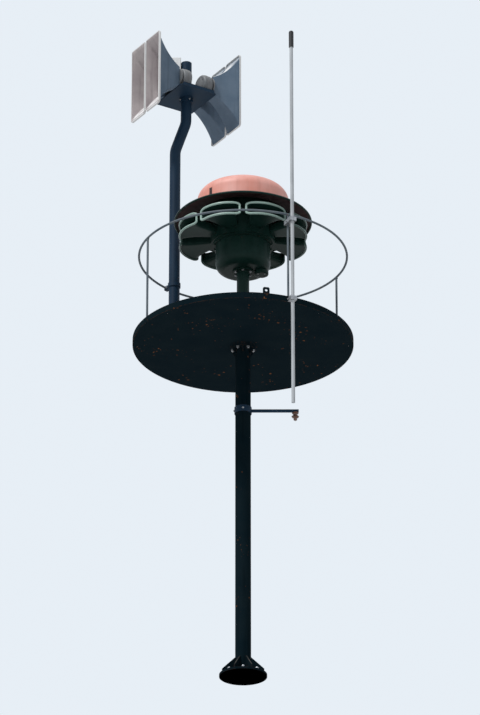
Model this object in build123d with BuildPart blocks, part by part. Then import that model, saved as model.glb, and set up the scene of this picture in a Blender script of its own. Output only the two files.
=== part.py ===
# Civil defence siren tower: a steel column with a bolted foot carries a round
# service platform with a guard hoop. A rotary siren with eight flared horns
# under a domed rain cap stands in the middle, a cluster of four loudspeaker
# horns stands on a side mast, and an aerial rod is clamped to the near edge.
# Millimetres, +Z up, origin at the middle of the foot's underside.
from build123d import *
from math import cos, radians, sin, sqrt, tan
import os

os.makedirs("parts", exist_ok=True)

# Fits
seat_gap = 0.3          # clearance where a curved face seats on another
bolt_clearance = 1.0    # how much wider a bolt hole is than its bolt

# Column and its foot
deck_height = 3200.0    # walking surface above the foot's underside
column_diameter = 139.7
column_wall = 5.0
foot_diameter = 420.0
foot_thickness = 20.0
foot_bolt_circle = 340.0
foot_bolt_diameter = 20.0
foot_bolt_count = 8
foot_gusset_height = 150.0
foot_gusset_thickness = 10.0

# Flanged joint under the platform
joint_flange_diameter = 220.0
joint_flange_thickness = 18.0
joint_bolt_circle = 185.0
joint_bolt_diameter = 16.0
joint_bolt_count = 6
joint_gusset_height = 58.0
joint_gusset_thickness = 8.0

# Platform and guard hoop
platform_diameter = 2000.0
deck_thickness = 6.0
rim_height = 55.0
rim_thickness = 6.0
drain_hole_diameter = 14.0
drain_hole_count = 8
hoop_inset = 50.0       # hoop centreline inside the platform's edge
hoop_height = 890.0     # hoop centreline above the deck
hoop_rod_diameter = 20.0
post_diameter = 20.0
post_foot_size = 60.0
post_foot_thickness = 6.0
post_angles = (-65.0, 25.0, 115.0, 205.0)
lug_angle = -78.0
lug_width = 60.0
lug_thickness = 10.0
lug_height = 62.0       # above the rim
lug_eye_diameter = 24.0

# Siren pedestal
pedestal_diameter = 114.3
pedestal_wall = 5.0
pedestal_foot_diameter = 260.0
pedestal_foot_thickness = 14.0
pedestal_bolt_circle = 215.0
pedestal_bolt_diameter = 14.0
pedestal_bolt_count = 6
pedestal_gusset_height = 80.0
pedestal_gusset_thickness = 8.0
pedestal_head_diameter = 190.0
pedestal_head_thickness = 14.0

# Siren motor housing
motor_bottom = 745.0    # underside of the housing above the deck
motor_diameter = 500.0
motor_corner_radius = 75.0
motor_top = 1015.0
motor_flange_diameter = 545.0
motor_flange_thickness = 14.0
cover_diameter = 130.0
cover_height = 34.0
cover_reach = 168.0     # middle of the terminal cover from the axis

# Siren horns
horn_count = 8
horn_middle = 1105.0    # centreline of the horns above the deck
horn_reach = 600.0      # lip of a horn from the siren's axis
horn_wall = 5.0
throat_width = 130.0
throat_height = 70.0
mouth_width = 500.0
mouth_height = 110.0
mouth_bow_radius = 300.0
drum_diameter = 590.0
drum_top = 1185.0
port_depth = 40.0

# Rain cap: a sloping brim with a rolled edge round a crown with a shallow dome
cap_diameter = 1260.0
cap_edge = 1236.0       # underside of the brim's edge above the deck
cap_skirt = 20.0
brim_slope = 12.0       # degrees
crown_diameter = 845.0
crown_height = 230.0    # upright wall of the crown
crown_corner_radius = 28.0
dome_rise = 100.0
cap_wall = 5.0
cap_bead_diameter = 14.0
support_diameter = 480.0
support_plate_diameter = 620.0
support_plate_thickness = 8.0

# Side mast of the loudspeakers
mast_inset = 90.0       # axis of the mast inside the hoop's centreline
mast_angle = 137.8
mast_diameter = 101.6
mast_wall = 4.0
mast_foot_diameter = 210.0
mast_foot_thickness = 14.0
mast_foot_bolt_circle = 168.0
mast_foot_bolt_diameter = 14.0
mast_foot_bolt_count = 4
mast_foot_gusset_height = 90.0
mast_foot_gusset_thickness = 8.0
mast_swan = 100.0       # how far the swan neck shifts the top to +X
mast_swan_low = 2300.0  # start of the swan neck above the deck
mast_swan_high = 2600.0
mast_bend_radius = 220.0
clamp_height = 40.0
clamp_wall = 8.0

# Loudspeaker horns
speaker_middle = 2970.0  # centreline of the loudspeakers above the deck
speaker_heading = 32.0   # the right-hand pair faces this way, the left pair the other
speaker_spacing = 262.0  # between the two horns of a pair
speaker_reach = 450.0    # mouth from the mast's axis
speaker_throat_reach = 185.0
speaker_throat_width = 110.0
speaker_throat_height = 200.0
speaker_corner_radius = 20.0
speaker_mouth_width = 232.0
speaker_mouth_height = 750.0
speaker_wall = 5.0
speaker_lip = 10.0       # how far the stiffening lip stands out round the mouth
speaker_lip_depth = 14.0
driver_diameter = 206.0
driver_neck_diameter = 150.0
driver_neck_length = 28.0
driver_length = 122.0
cradle_length = 390.0
cradle_thickness = 8.0
cradle_edge = 34.0
cradle_collar_height = 45.0
cradle_collar_wall = 12.0
mast_top = 3240.0        # above the deck, past the loudspeakers
junction_width = 105.0
junction_depth = 100.0
junction_height = 135.0
junction_bottom = 3150.0

# Aerial rod
rod_diameter = 32.0
rod_bottom = -1000.0    # from the deck
rod_top = 2560.0
rod_tip_diameter = 44.0
rod_tip_length = 170.0
rod_stand_off = 24.0    # between the platform's rim and the rod
rod_post_index = 0      # the guard post that the rod is clamped to
rod_clamp_width = 60.0
rod_clamp_drop = 110.0  # upper clamp below the hoop

# Side arm under the platform
arm_drop = 650.0        # below the deck
arm_diameter = 30.0
arm_reach = 500.0
arm_collar_height = 60.0
arm_collar_wall = 8.0
insulator_diameter = 62.0
insulator_height = 78.0

deck_bottom = deck_height - deck_thickness
hub_bottom = deck_bottom - joint_flange_thickness
column_top = hub_bottom - joint_flange_thickness
rim_inner_radius = platform_diameter / 2 - rim_thickness
hoop_radius = platform_diameter / 2 - hoop_inset
hoop_level = deck_height + hoop_height
mast_x = (hoop_radius - mast_inset) * cos(radians(mast_angle))
mast_y = (hoop_radius - mast_inset) * sin(radians(mast_angle))


def keep(piece, name):
    """Labels one finished piece and writes it."""
    piece.part.label = name
    export_step(piece.part, f"parts/{name}.step")


def polar(radius, angle):
    """Point at this radius and angle about the tower's axis."""
    return radius * cos(radians(angle)), radius * sin(radians(angle))


def radial_plane(angle, centre=(0, 0), level=0.0):
    """Upright plane through the centre: its x runs outwards at the angle, its y up."""
    across = angle - 90
    return Plane(
        origin=(centre[0], centre[1], level),
        x_dir=(cos(radians(angle)), sin(radians(angle)), 0),
        z_dir=(cos(radians(across)), sin(radians(across)), 0),
    )


def facing_plane(angle, reach, level, centre=(0, 0), aside=0.0):
    """Upright plane that faces outwards at the angle, at this reach from the centre."""
    out = (cos(radians(angle)), sin(radians(angle)))
    side = (-out[1], out[0])
    return Plane(
        origin=(
            centre[0] + out[0] * reach + side[0] * aside,
            centre[1] + out[1] * reach + side[1] * aside,
            level,
        ),
        x_dir=(side[0], side[1], 0),
        z_dir=(out[0], out[1], 0),
    )


def gussets(centre, level, inner, outer, height, thickness, count, start=0.0):
    """Triangular welded ribs round a pipe; a negative height hangs them below."""
    toe = 0.2 * abs(height) * (1 if height > 0 else -1)
    for number in range(count):
        angle = start + 360 / count * number
        with BuildSketch(radial_plane(angle, centre, level)) as rib:
            with BuildLine():
                Polyline((inner, 0), (outer, 0), (outer, toe), (inner + 8, height), (inner, height), close=True)
            make_face()
        extrude(rib.sketch, amount=thickness / 2, both=True)


def flare(start, end, share):
    """Exponential growth of a horn from its throat to its mouth."""
    return start * (end / start) ** share


# Foot of the column, with its anchor holes and welded ribs
with BuildPart() as base_flange:
    with BuildSketch():
        Circle(foot_diameter / 2)
        with PolarLocations(foot_bolt_circle / 2, foot_bolt_count):
            Circle((foot_bolt_diameter + 2 * bolt_clearance) / 2, mode=Mode.SUBTRACT)
    extrude(amount=foot_thickness)
    gussets(
        (0, 0), foot_thickness, column_diameter / 2 + seat_gap, foot_diameter / 2 - 12,
        foot_gusset_height, foot_gusset_thickness, foot_bolt_count, 180 / foot_bolt_count,
    )
keep(base_flange, "base_flange")

# Column pipe, between the foot and the upper flange
with BuildPart() as column:
    with BuildSketch(Plane.XY.offset(foot_thickness)):
        Circle(column_diameter / 2)
        Circle(column_diameter / 2 - column_wall, mode=Mode.SUBTRACT)
    extrude(amount=column_top - foot_thickness)
keep(column, "column")

# Upper flange of the column, ribbed below
with BuildPart() as column_flange:
    with BuildSketch(Plane.XY.offset(column_top)):
        Circle(joint_flange_diameter / 2)
        with PolarLocations(joint_bolt_circle / 2, joint_bolt_count):
            Circle((joint_bolt_diameter + bolt_clearance) / 2, mode=Mode.SUBTRACT)
    extrude(amount=joint_flange_thickness)
    gussets(
        (0, 0), column_top, column_diameter / 2 + seat_gap, joint_flange_diameter / 2 - 4,
        -joint_gusset_height, joint_gusset_thickness, joint_bolt_count, 180 / joint_bolt_count,
    )
keep(column_flange, "column_flange")

# Matching flange welded under the deck
with BuildPart() as platform_hub:
    with BuildSketch(Plane.XY.offset(hub_bottom)):
        Circle(joint_flange_diameter / 2)
        with PolarLocations(joint_bolt_circle / 2, joint_bolt_count):
            Circle((joint_bolt_diameter + bolt_clearance) / 2, mode=Mode.SUBTRACT)
    extrude(amount=joint_flange_thickness)
keep(platform_hub, "platform_hub")

# Round deck plate with drain holes near its edge
with BuildPart() as platform_deck:
    with BuildSketch(Plane.XY.offset(deck_bottom)):
        Circle(rim_inner_radius - seat_gap)
        with PolarLocations(rim_inner_radius - 40, drain_hole_count):
            Circle(drain_hole_diameter / 2, mode=Mode.SUBTRACT)
    extrude(amount=deck_thickness)
keep(platform_deck, "platform_deck")

# Flat bar rolled round the deck as a toe board
with BuildPart() as platform_rim:
    with BuildSketch(Plane.XY.offset(deck_bottom)):
        Circle(platform_diameter / 2)
        Circle(rim_inner_radius, mode=Mode.SUBTRACT)
    extrude(amount=rim_height)
keep(platform_rim, "platform_rim")

# Lifting lug inside the near edge of the rim
lug_reach = rim_inner_radius * cos(lug_width / 2 / rim_inner_radius) - seat_gap - lug_thickness
lug_top = rim_height - deck_thickness + lug_height
with BuildPart() as rim_lug:
    with BuildSketch(facing_plane(lug_angle, lug_reach, deck_height)):
        with Locations((0, lug_top / 2)):
            RectangleRounded(lug_width, lug_top, lug_width / 4)
        with Locations((0, lug_top / 4)):
            Rectangle(lug_width, lug_top / 2)
        with Locations((0, lug_top - lug_width / 2)):
            Circle(lug_eye_diameter / 2, mode=Mode.SUBTRACT)
    extrude(amount=lug_thickness)
keep(rim_lug, "rim_lug")

# Guard hoop, a round bar rolled to a ring
with BuildPart() as guard_hoop:
    with BuildSketch(Plane.XZ):
        with Locations((hoop_radius, hoop_level)):
            Circle(hoop_rod_diameter / 2)
    revolve(axis=Axis.Z)
keep(guard_hoop, "guard_hoop")

# Guard posts, each a round bar on a small foot plate
for number, angle in enumerate(post_angles, start=1):
    with BuildPart() as guard_post:
        with BuildSketch(Plane.XY.offset(deck_height)):
            with Locations(polar(hoop_radius, angle)):
                Rectangle(post_foot_size, post_foot_size, rotation=angle)
        extrude(amount=post_foot_thickness)
        with BuildSketch(Plane.XY.offset(deck_height)):
            with Locations(polar(hoop_radius, angle)):
                Circle(post_diameter / 2)
        extrude(amount=hoop_height - hoop_rod_diameter / 2 - seat_gap)
    keep(guard_post, f"guard_post_{number}")

# Pedestal of the siren: flanged pipe with ribs and a head plate
pedestal_top = deck_height + motor_bottom
with BuildPart() as siren_pedestal:
    with BuildSketch(Plane.XY.offset(deck_height)):
        Circle(pedestal_foot_diameter / 2)
        with PolarLocations(pedestal_bolt_circle / 2, pedestal_bolt_count):
            Circle((pedestal_bolt_diameter + bolt_clearance) / 2, mode=Mode.SUBTRACT)
    extrude(amount=pedestal_foot_thickness)
    with BuildSketch(Plane.XY.offset(deck_height)):
        Circle(pedestal_diameter / 2)
    extrude(amount=motor_bottom)
    with BuildSketch(Plane.XY.offset(pedestal_top - pedestal_head_thickness)):
        Circle(pedestal_head_diameter / 2)
    extrude(amount=pedestal_head_thickness)
    gussets(
        (0, 0), deck_height + pedestal_foot_thickness, pedestal_diameter / 2 - pedestal_wall,
        pedestal_foot_diameter / 2 - 6, pedestal_gusset_height, pedestal_gusset_thickness,
        pedestal_bolt_count, 180 / pedestal_bolt_count,
    )
    with BuildSketch(Plane.XY.offset(deck_height)):
        Circle(pedestal_diameter / 2 - pedestal_wall)
    extrude(amount=motor_bottom - pedestal_head_thickness, mode=Mode.SUBTRACT)
keep(siren_pedestal, "siren_pedestal")

# Motor housing, a drum with a rounded bottom and a flange for the horn ring
with BuildPart() as motor_housing:
    with BuildSketch(Plane.XZ):
        with BuildLine():
            bottom = deck_height + motor_bottom
            top = deck_height + motor_top
            radius = motor_diameter / 2
            corner = motor_corner_radius
            Line((0, top), (0, bottom))
            Line((0, bottom), (radius - corner, bottom))
            RadiusArc((radius - corner, bottom), (radius, bottom + corner), -corner)
            Line((radius, bottom + corner), (radius, top - motor_flange_thickness))
            Line((radius, top - motor_flange_thickness), (motor_flange_diameter / 2, top - motor_flange_thickness))
            Line((motor_flange_diameter / 2, top - motor_flange_thickness), (motor_flange_diameter / 2, top))
            Line((motor_flange_diameter / 2, top), (0, top))
        make_face()
    revolve(axis=Axis.Z)
keep(motor_housing, "motor_housing")

# Round terminal cover under the housing, where the supply cable enters
with BuildPart() as terminal_cover:
    with BuildSketch(Plane.XY.offset(deck_height + motor_bottom)):
        with Locations((cover_reach, 0)):
            Circle(cover_diameter / 2)
    extrude(amount=-cover_height)
    fillet(terminal_cover.faces().sort_by(Axis.Z)[0].edges(), cover_height / 3)
keep(terminal_cover, "terminal_cover")


def siren_horn(number):
    """One flared horn: its throat seats on the drum and its mouth is bowed outwards."""
    angle = 360 / horn_count * (number + 0.5)
    level = deck_height + horn_middle
    throat_reach = drum_diameter / 2 - 20
    stations = (0, 0.4, 0.75, 1)
    with BuildPart() as horn:
        for wall, mode in ((0, Mode.ADD), (horn_wall, Mode.SUBTRACT)):
            for share in stations:
                reach = throat_reach + (horn_reach - throat_reach) * share
                width = flare(throat_width, mouth_width, share) - 2 * wall
                height = flare(throat_height, mouth_height, share) - 2 * wall
                with BuildSketch(facing_plane(angle, reach, level)):
                    RectangleRounded(width, height, 0.38 * height)
            loft(mode=mode)
        with BuildSketch(Plane.XY.offset(level - mouth_height)):
            with Locations(polar(horn_reach - mouth_bow_radius, angle)):
                Circle(mouth_bow_radius)
        extrude(amount=2 * mouth_height, mode=Mode.INTERSECT)
        with BuildSketch(Plane.XY.offset(level - mouth_height)):
            Circle(drum_diameter / 2 + seat_gap)
        extrude(amount=2 * mouth_height, mode=Mode.SUBTRACT)
    return horn


for number in range(horn_count):
    keep(siren_horn(number), f"siren_horn_{number + 1}")

# Stator drum with a port behind each horn
with BuildPart() as stator_drum:
    with BuildSketch(Plane.XY.offset(deck_height + motor_top)):
        Circle(drum_diameter / 2)
    extrude(amount=drum_top - motor_top)
    for number in range(horn_count):
        angle = 360 / horn_count * (number + 0.5)
        with BuildSketch(facing_plane(angle, drum_diameter / 2 - port_depth, deck_height + horn_middle)):
            RectangleRounded(throat_width - 2 * horn_wall, throat_height - 2 * horn_wall, 20)
        extrude(amount=2 * port_depth, mode=Mode.SUBTRACT)
keep(stator_drum, "stator_drum")

# Profile of the rain cap: the crown's wall stands on the brim and its dome is part of a sphere
crown_radius = crown_diameter / 2
brim_reach = cap_diameter / 2 - crown_radius
brim_low = deck_height + cap_edge + cap_skirt
brim_high = brim_low + brim_reach * tan(radians(brim_slope))
crown_top = brim_high + crown_height
dome_sphere = (crown_radius**2 + dome_rise**2) / (2 * dome_rise)

# Plate and drum that carry the rain cap over the stator
dome_inside = dome_sphere - cap_wall - seat_gap
support_top = crown_top + dome_rise - dome_sphere + sqrt(dome_inside**2 - (support_diameter / 2) ** 2)
with BuildPart() as cap_support:
    with BuildSketch(Plane.XY.offset(deck_height + drum_top)):
        Circle(support_plate_diameter / 2)
    extrude(amount=support_plate_thickness)
    with BuildSketch(Plane.XY.offset(deck_height + drum_top)):
        Circle(support_diameter / 2)
    extrude(amount=support_top - deck_height - drum_top)
keep(cap_support, "cap_support")

# Rain cap, pressed from one sheet with a wired edge
cap_radius = cap_diameter / 2
edge_level = deck_height + cap_edge
wall_radius = crown_radius - cap_wall
wall_top = crown_top + dome_rise - dome_sphere + sqrt((dome_sphere - cap_wall) ** 2 - wall_radius**2)
with BuildPart() as dome_cap:
    with BuildSketch(Plane.XZ) as cap_profile:
        with BuildLine():
            RadiusArc((0, crown_top + dome_rise), (crown_radius, crown_top), dome_sphere)
            Polyline(
                (crown_radius, crown_top),
                (crown_radius, brim_high),
                (cap_radius, brim_low),
                (cap_radius, edge_level),
                (cap_radius - cap_wall, edge_level),
                (cap_radius - cap_wall, brim_low - cap_wall),
                (wall_radius, brim_high - cap_wall),
                (wall_radius, wall_top),
            )
            RadiusArc((wall_radius, wall_top), (0, crown_top + dome_rise - cap_wall), cap_wall - dome_sphere)
            Line((0, crown_top + dome_rise - cap_wall), (0, crown_top + dome_rise))
        make_face()
        fillet(cap_profile.vertices().sort_by_distance((crown_radius, crown_top))[0], crown_corner_radius)
        with Locations((cap_radius - cap_bead_diameter / 2, edge_level + cap_bead_diameter / 2)):
            Circle(cap_bead_diameter / 2)
    revolve(axis=Axis.Z)
keep(dome_cap, "dome_cap")

# Foot of the side mast, bolted to the deck
with BuildPart() as mast_foot:
    with BuildSketch(Plane.XY.offset(deck_height)):
        with Locations((mast_x, mast_y)):
            Circle(mast_foot_diameter / 2)
            with PolarLocations(mast_foot_bolt_circle / 2, mast_foot_bolt_count, start_angle=45):
                Circle((mast_foot_bolt_diameter + bolt_clearance) / 2, mode=Mode.SUBTRACT)
    extrude(amount=mast_foot_thickness)
    gussets(
        (mast_x, mast_y), deck_height + mast_foot_thickness, mast_diameter / 2 + seat_gap,
        mast_foot_diameter / 2 - 6, mast_foot_gusset_height, mast_foot_gusset_thickness, mast_foot_bolt_count,
    )
keep(mast_foot, "mast_foot")

# Side mast with a swan neck under the loudspeakers, closed at its top
cradle_bottom = deck_height + speaker_middle - driver_diameter / 2 - seat_gap - cradle_thickness
speaker_centre = (mast_x + mast_swan, mast_y)
with BuildPart() as speaker_mast:
    with BuildLine() as mast_path:
        FilletPolyline(
            (mast_x, mast_y, deck_height + mast_foot_thickness),
            (mast_x, mast_y, deck_height + mast_swan_low),
            (*speaker_centre, deck_height + mast_swan_high),
            (*speaker_centre, deck_height + mast_top),
            radius=mast_bend_radius,
        )
    with BuildSketch(Plane.XY.offset(deck_height + mast_foot_thickness)):
        with Locations((mast_x, mast_y)):
            Circle(mast_diameter / 2)
            Circle(mast_diameter / 2 - mast_wall, mode=Mode.SUBTRACT)
    sweep(path=mast_path.wires()[0])
    with BuildSketch(Plane.XY.offset(deck_height + mast_top)):
        with Locations(speaker_centre):
            Circle(mast_diameter / 2)
    extrude(amount=mast_wall)
keep(speaker_mast, "speaker_mast")

# Clamp that ties the mast to the guard hoop
clamp_reach = mast_inset + hoop_rod_diameter / 2 + clamp_wall
with BuildPart() as mast_hoop_clamp:
    with BuildSketch(Plane.XY.offset(hoop_level - clamp_height / 2)):
        with Locations((mast_x, mast_y)):
            Circle(mast_diameter / 2 + clamp_wall)
        with Locations(Location((mast_x, mast_y, 0), (0, 0, mast_angle))):
            with Locations((clamp_reach / 2, 0)):
                Rectangle(clamp_reach, clamp_height)
        with Locations((mast_x, mast_y)):
            Circle(mast_diameter / 2 + seat_gap, mode=Mode.SUBTRACT)
    extrude(amount=clamp_height)
    with BuildSketch(Plane.XZ):
        with Locations((hoop_radius, hoop_level)):
            Circle(hoop_rod_diameter / 2 + seat_gap)
    revolve(axis=Axis.Z, mode=Mode.SUBTRACT)
keep(mast_hoop_clamp, "mast_hoop_clamp")

# Cradle on the mast: a pressed tray that the four drivers lie on, with a collar below
cradle_width = speaker_spacing + driver_diameter
cradle_plane = Plane(
    origin=(*speaker_centre, cradle_bottom),
    x_dir=(cos(radians(speaker_heading)), sin(radians(speaker_heading)), 0),
    z_dir=(0, 0, 1),
)
with BuildPart() as speaker_cradle:
    with BuildSketch(cradle_plane):
        RectangleRounded(cradle_length, cradle_width, 25)
    extrude(amount=cradle_thickness)
    with BuildSketch(cradle_plane):
        for side in (-1, 1):
            with Locations((0, side * (cradle_width - cradle_thickness) / 2)):
                Rectangle(cradle_length - 50, cradle_thickness)
    extrude(amount=cradle_edge)
    with BuildSketch(cradle_plane):
        Circle(mast_diameter / 2 + cradle_collar_wall)
    extrude(amount=-cradle_collar_height)
    with BuildSketch(cradle_plane.offset(-cradle_collar_height)):
        Circle(mast_diameter / 2 + seat_gap)
    extrude(amount=cradle_collar_height + cradle_edge, mode=Mode.SUBTRACT)
keep(speaker_cradle, "speaker_cradle")

# Junction box on the side of the mast's top
with BuildPart() as junction_box:
    with BuildSketch(Plane.XY.offset(deck_height + junction_bottom)):
        with Locations((speaker_centre[0] - mast_diameter / 2 - seat_gap - junction_width / 2, mast_y)):
            Rectangle(junction_width, junction_depth)
    extrude(amount=junction_height)
    fillet(junction_box.edges().filter_by(Axis.Z), 8)
    fillet(junction_box.faces().sort_by(Axis.Z)[-1].edges(), 4)
keep(junction_box, "junction_box")


def speaker_piece(heading, aside):
    """One loudspeaker horn and its driver, as two pieces."""
    level = deck_height + speaker_middle
    stations = (0, 0.35, 0.7, 1)
    with BuildPart() as horn:
        for wall, mode in ((0, Mode.ADD), (speaker_wall, Mode.SUBTRACT)):
            for share in stations:
                reach = speaker_throat_reach + (speaker_reach - speaker_throat_reach) * share
                width = flare(speaker_throat_width, speaker_mouth_width, share) - 2 * wall
                height = flare(speaker_throat_height, speaker_mouth_height, share) - 2 * wall
                with BuildSketch(facing_plane(heading, reach, level, speaker_centre, aside)):
                    RectangleRounded(width, height, speaker_corner_radius)
            loft(mode=mode)
        with BuildSketch(facing_plane(heading, speaker_reach - speaker_lip_depth, level, speaker_centre, aside)):
            width = speaker_mouth_width
            height = speaker_mouth_height
            edge = 2 * speaker_lip
            inside = 2 * speaker_wall
            RectangleRounded(width + edge, height + edge, speaker_corner_radius + speaker_lip)
            RectangleRounded(width - inside, height - inside, speaker_corner_radius, mode=Mode.SUBTRACT)
        extrude(amount=speaker_lip_depth)
    with BuildPart() as driver:
        start = speaker_throat_reach - driver_length
        with BuildSketch(facing_plane(heading, start, level, speaker_centre, aside)):
            Circle(driver_diameter / 2)
        extrude(amount=driver_length - driver_neck_length)
        fillet(driver.edges(), 0.12 * driver_diameter)
        neck = facing_plane(heading, speaker_throat_reach - driver_neck_length, level, speaker_centre, aside)
        with BuildSketch(neck):
            Circle(driver_neck_diameter / 2)
        extrude(amount=driver_neck_length)
    return horn, driver


number = 0
for heading in (speaker_heading + 180, speaker_heading):
    for aside in (-speaker_spacing / 2, speaker_spacing / 2):
        number += 1
        horn, driver = speaker_piece(heading, aside)
        keep(horn, f"speaker_horn_{number}")
        keep(driver, f"speaker_driver_{number}")

# Aerial rod outside the near guard post, and its blunt tip
rod_angle = post_angles[rod_post_index]
rod_radius = platform_diameter / 2 + rod_stand_off + rod_diameter / 2
rod_position = polar(rod_radius, rod_angle)
with BuildPart() as aerial_rod:
    with BuildSketch(Plane.XY.offset(deck_height + rod_bottom)):
        with Locations(rod_position):
            Circle(rod_diameter / 2)
    extrude(amount=rod_top - rod_bottom)
keep(aerial_rod, "aerial_rod")

with BuildPart() as aerial_tip:
    with BuildSketch(Plane.XY.offset(deck_height + rod_top)):
        with Locations(rod_position):
            Circle(rod_tip_diameter / 2)
    extrude(amount=rod_tip_length)
    fillet(aerial_tip.faces().sort_by(Axis.Z)[-1].edges(), rod_tip_diameter / 2 - 4)
keep(aerial_tip, "aerial_tip")


def rod_clamp(level, inner, held):
    """Block from the inner radius out to the rod, bored for the rod and what it holds."""
    outer = rod_radius + rod_diameter / 2 + clamp_wall
    with BuildPart() as clamp:
        with BuildSketch(Plane.XY.offset(level)):
            with Locations(Location((0, 0, 0), (0, 0, rod_angle))):
                with Locations(((inner + outer) / 2, 0)):
                    Rectangle(outer - inner, rod_clamp_width)
            with Locations(rod_position):
                Circle(rod_diameter / 2 + seat_gap, mode=Mode.SUBTRACT)
            if held:
                with Locations(polar(hoop_radius, rod_angle)):
                    Circle(post_diameter / 2 + seat_gap, mode=Mode.SUBTRACT)
        extrude(amount=clamp_height)
    return clamp


# Clamps of the rod: the upper one grips the guard post, the lower one is on the rim
post_grip = hoop_radius - post_diameter / 2 - clamp_wall
keep(rod_clamp(hoop_level - rod_clamp_drop, post_grip, True), "rod_clamp_upper")
keep(rod_clamp(deck_bottom, platform_diameter / 2 + seat_gap, False), "rod_clamp_lower")

# Side arm on a collar round the column
arm_level = deck_height - arm_drop
with BuildPart() as side_arm:
    with BuildSketch(Plane.XY.offset(arm_level - arm_collar_height / 2)):
        Circle(column_diameter / 2 + seat_gap + arm_collar_wall)
    extrude(amount=arm_collar_height)
    with BuildSketch(Plane.YZ):
        with Locations((0, arm_level)):
            Circle(arm_diameter / 2)
    extrude(amount=arm_reach)
    with BuildSketch(Plane.XY.offset(arm_level - arm_collar_height / 2)):
        Circle(column_diameter / 2 + seat_gap)
    extrude(amount=arm_collar_height, mode=Mode.SUBTRACT)
keep(side_arm, "side_arm")

# Spool insulator hung under the end of the arm
with BuildPart() as arm_insulator:
    with BuildSketch(Plane.XZ):
        with BuildLine():
            waist = 0.32 * insulator_diameter
            high = arm_level - arm_diameter / 2 - seat_gap
            low = high - insulator_height
            middle = (high + low) / 2
            edge = insulator_diameter / 2
            Line((0, high), (edge, high))
            Line((edge, high), (edge, high - 0.2 * insulator_height))
            ThreePointArc((edge, high - 0.2 * insulator_height), (waist, middle), (edge, low + 0.2 * insulator_height))
            Line((edge, low + 0.2 * insulator_height), (edge, low))
            Line((edge, low), (0, low))
            Line((0, low), (0, high))
        make_face()
    revolve(axis=Axis.Z)
    arm_insulator.part.position = (arm_reach - insulator_diameter / 2, 0, 0)
keep(arm_insulator, "arm_insulator")
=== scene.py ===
from math import asin, cos, pi, radians, sin, sqrt, tan

import bpy
from mathutils import Matrix, Vector


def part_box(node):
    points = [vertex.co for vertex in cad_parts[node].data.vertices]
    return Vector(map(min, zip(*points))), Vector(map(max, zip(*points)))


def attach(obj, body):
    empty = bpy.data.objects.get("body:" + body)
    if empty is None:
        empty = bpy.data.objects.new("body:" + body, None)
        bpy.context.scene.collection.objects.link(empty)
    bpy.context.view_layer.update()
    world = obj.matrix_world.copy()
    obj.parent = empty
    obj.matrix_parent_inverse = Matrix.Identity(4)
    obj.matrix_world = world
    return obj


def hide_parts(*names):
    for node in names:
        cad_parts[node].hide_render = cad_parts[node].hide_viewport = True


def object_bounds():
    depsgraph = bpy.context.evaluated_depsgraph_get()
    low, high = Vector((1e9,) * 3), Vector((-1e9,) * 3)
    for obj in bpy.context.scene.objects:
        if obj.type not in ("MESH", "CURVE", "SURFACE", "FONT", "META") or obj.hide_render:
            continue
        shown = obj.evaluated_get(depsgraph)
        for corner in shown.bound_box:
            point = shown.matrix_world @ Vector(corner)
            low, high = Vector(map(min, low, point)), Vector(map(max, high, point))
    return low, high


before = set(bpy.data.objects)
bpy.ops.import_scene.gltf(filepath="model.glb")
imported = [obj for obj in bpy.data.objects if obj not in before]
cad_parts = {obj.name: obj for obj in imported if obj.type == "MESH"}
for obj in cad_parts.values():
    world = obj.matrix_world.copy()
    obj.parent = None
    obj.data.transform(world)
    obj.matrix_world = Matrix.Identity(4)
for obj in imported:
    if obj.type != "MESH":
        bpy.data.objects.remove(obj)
cad_low, cad_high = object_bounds()


# Column foot. A round plate with eight ribs, welded to the column and painted the
# same near-black green as it. It is held down by eight anchor studs, each with a
# washer and a nut, whose zinc has gone dull.
def shader_group(name, inputs, outputs):
    """Starts a shader group with these sockets; each input is (label, socket type, value)."""
    tree = bpy.data.node_groups.new(name, "ShaderNodeTree")
    for label, kind, value in inputs:
        socket = tree.interface.new_socket(name=label, in_out="INPUT", socket_type=kind)
        socket.default_value = value
    for label, kind in outputs:
        tree.interface.new_socket(name=label, in_out="OUTPUT", socket_type=kind)
    return tree, tree.nodes.new("NodeGroupInput").outputs, tree.nodes.new("NodeGroupOutput").inputs


def node(tree, kind, inputs=None, **settings):
    """Adds one shader node; each input is a value or the output that feeds it."""
    made = tree.nodes.new("ShaderNode" + kind)
    for setting, value in settings.items():
        setattr(made, setting, value)
    for socket, value in (inputs or {}).items():
        if isinstance(value, bpy.types.NodeSocket):
            tree.links.new(value, made.inputs[socket])
        else:
            made.inputs[socket].default_value = value
    return made


def noise(tree, place, scale, detail=3.0):
    """Soft noise from 0 to 1 over the surface."""
    return node(tree, "TexNoise", {"Vector": place, "Scale": scale, "Detail": detail}).outputs[0]


def ramp(tree, value, start, end):
    """0 up to the start, 1 from the end."""
    return node(tree, "MapRange", {"Value": value, "From Min": start, "From Max": end}).outputs[0]


def times(tree, first, second):
    return node(tree, "Math", {0: first, 1: second}, operation="MULTIPLY").outputs[0]


def plus(tree, first, second):
    return node(tree, "Math", {0: first, 1: second}, operation="ADD").outputs[0]


def larger(tree, first, second):
    return node(tree, "Math", {0: first, 1: second}, operation="MAXIMUM").outputs[0]


def agreement(tree, first, second):
    """How far two directions agree."""
    return node(tree, "VectorMath", {0: first, 1: second}, operation="DOT_PRODUCT").outputs["Value"]


def rise(tree):
    """How far the surface faces up: 1 on top, 0 where it is upright, -1 underneath."""
    return node(tree, "SeparateXYZ", {0: node(tree, "NewGeometry").outputs["Normal"]}).outputs[2]


def blend(tree, share, first, second):
    """A colour between two colours."""
    return node(tree, "Mix", {0: share, 6: first, 7: second}, data_type="RGBA").outputs[2]


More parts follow.
